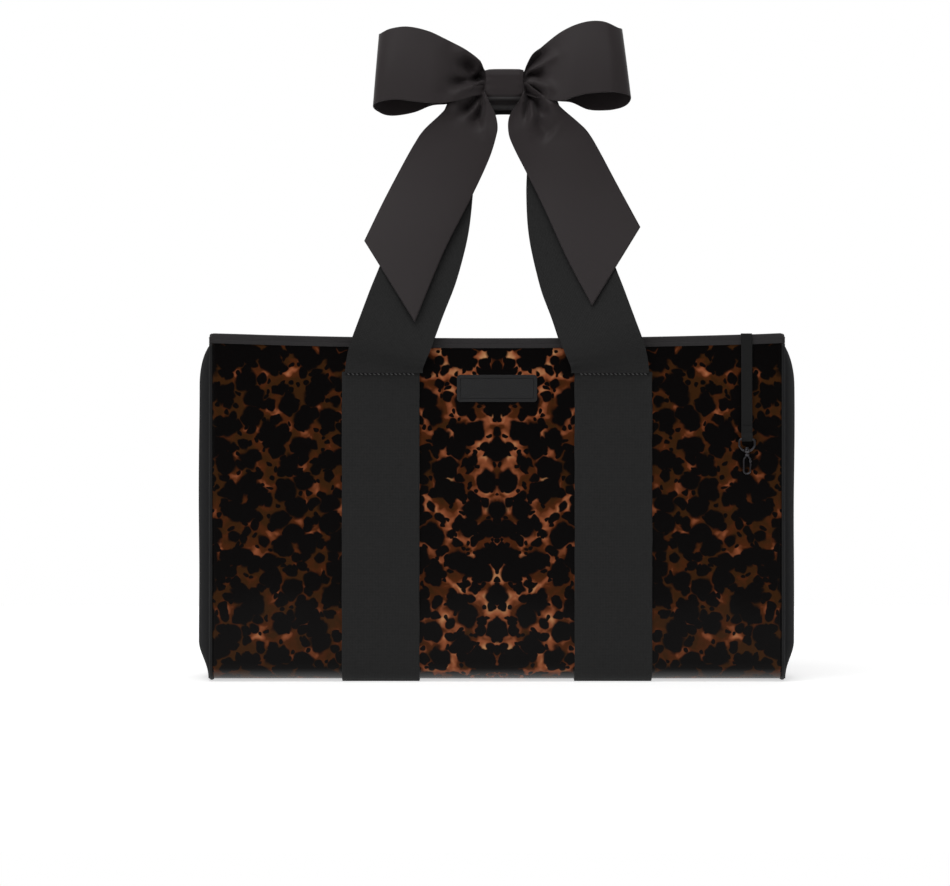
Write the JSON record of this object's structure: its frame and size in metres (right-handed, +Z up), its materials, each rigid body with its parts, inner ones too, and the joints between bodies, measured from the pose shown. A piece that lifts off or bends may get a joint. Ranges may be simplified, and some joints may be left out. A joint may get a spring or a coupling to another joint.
{
  "type": "tote bag",
  "caption": "Wide boxy tote bag with two webbing handles, a large ribbon bow on the front handle, a bare front patch and a short clip leash on the rim.",
  "frame": {"origin": "under the middle of the bag, at the level that its two straps rest on", "axes": "+X to the bag's right seen from the front, +Y from front to back, +Z up"},
  "size_m": [0.5944, 0.1854, 0.6523],
  "materials": {
    "printed_vinyl": "glossy tortoiseshell-print vinyl",
    "base_vinyl": "plain black vinyl",
    "gusset_cloth": "soft black canvas",
    "seam_piping": "dark grey woven piping",
    "rim_tape": "ribbed grosgrain tape",
    "webbing": "flat woven webbing",
    "thread": "black sewing thread",
    "foam": "light stiffening foam",
    "lining_cloth": "plain woven lining",
    "base_board": "matt board",
    "snap_metal": "black nickel plate",
    "patch_leather": "smooth matt leather",
    "satin_ribbon": "soft satin ribbon",
    "leash_tape": "narrow woven tape",
    "black_nickel": "polished black nickel",
    "spring_steel": "plain spring steel"
  },
  "bodies": {
    "bag_body": {"front_panel": "printed_vinyl", "back_panel": "printed_vinyl", "base_panel": "base_vinyl", "left_gusset": "gusset_cloth", "right_gusset": "gusset_cloth", "left_seam_piping": "seam_piping", "right_seam_piping": "seam_piping", "front_rim_binding": "rim_tape", "back_rim_binding": "rim_tape", "left_rim_binding": "rim_tape", "right_rim_binding": "rim_tape", "left_body_strap": "webbing", "right_body_strap": "webbing", "strap_stitches": "thread", "front_foam": "foam", "back_foam": "foam", "base_foam": "foam", "lining": "lining_cloth", "base_board": "base_board", "slip_pocket": "lining_cloth", "pocket_hem": "rim_tape", "snap_stud": "snap_metal", "snap_socket": "snap_metal", "label_patch": "patch_leather", "leash_anchor": "leash_tape"},
    "front_handle_loop": {"front_handle": "webbing", "bow_knot": "satin_ribbon", "bow_left_loop": "satin_ribbon", "bow_right_loop": "satin_ribbon", "bow_left_tail": "satin_ribbon", "bow_right_tail": "satin_ribbon"},
    "back_handle_loop": {"back_handle": "webbing"},
    "leash": {"leash_strap": "leash_tape"},
    "leash_bail": {"clip_bail": "black_nickel"},
    "leash_hook": {"swivel_hook": "black_nickel", "gate_pin": "black_nickel", "gate_spring": "spring_steel"},
    "gate": {"hook_gate": "black_nickel"}
  },
  "joints": [
    {"name": "front_handle_swing", "type": "hinge", "parent": "bag_body", "child": "front_handle_loop", "pos_m": [0, -0.0865, 0.304], "axis": [1, 0, 0], "range_deg": [0, 150]},
    {"name": "back_handle_swing", "type": "hinge", "parent": "bag_body", "child": "back_handle_loop", "pos_m": [0, 0.0865, 0.304], "axis": [-1, 0, 0], "range_deg": [0, 150]},
    {"name": "leash_swing", "type": "hinge", "parent": "bag_body", "child": "leash", "pos_m": [0.2445, -0.0844, 0.3412], "axis": [-1, 0, 0], "range_deg": [0, 150]},
    {"name": "bail_pivot", "type": "hinge", "parent": "leash", "child": "leash_bail", "pos_m": [0.2445, -0.0884, 0.238], "axis": [-1, 0, 0], "range_deg": [0, 85]},
    {"name": "hook_swivel", "type": "hinge", "parent": "leash_bail", "child": "leash_hook", "pos_m": [0.2445, -0.0884, 0.226], "axis": [0, 0, 1], "continuous": true},
    {"name": "gate_lever", "type": "hinge", "parent": "leash_hook", "child": "gate", "pos_m": [0.24775, -0.0884, 0.2165], "axis": [0, 1, 0], "range_deg": [0, 28], "stiffness_Nm_per_rad": 0.002, "springref_deg": -11.46}
  ]
}
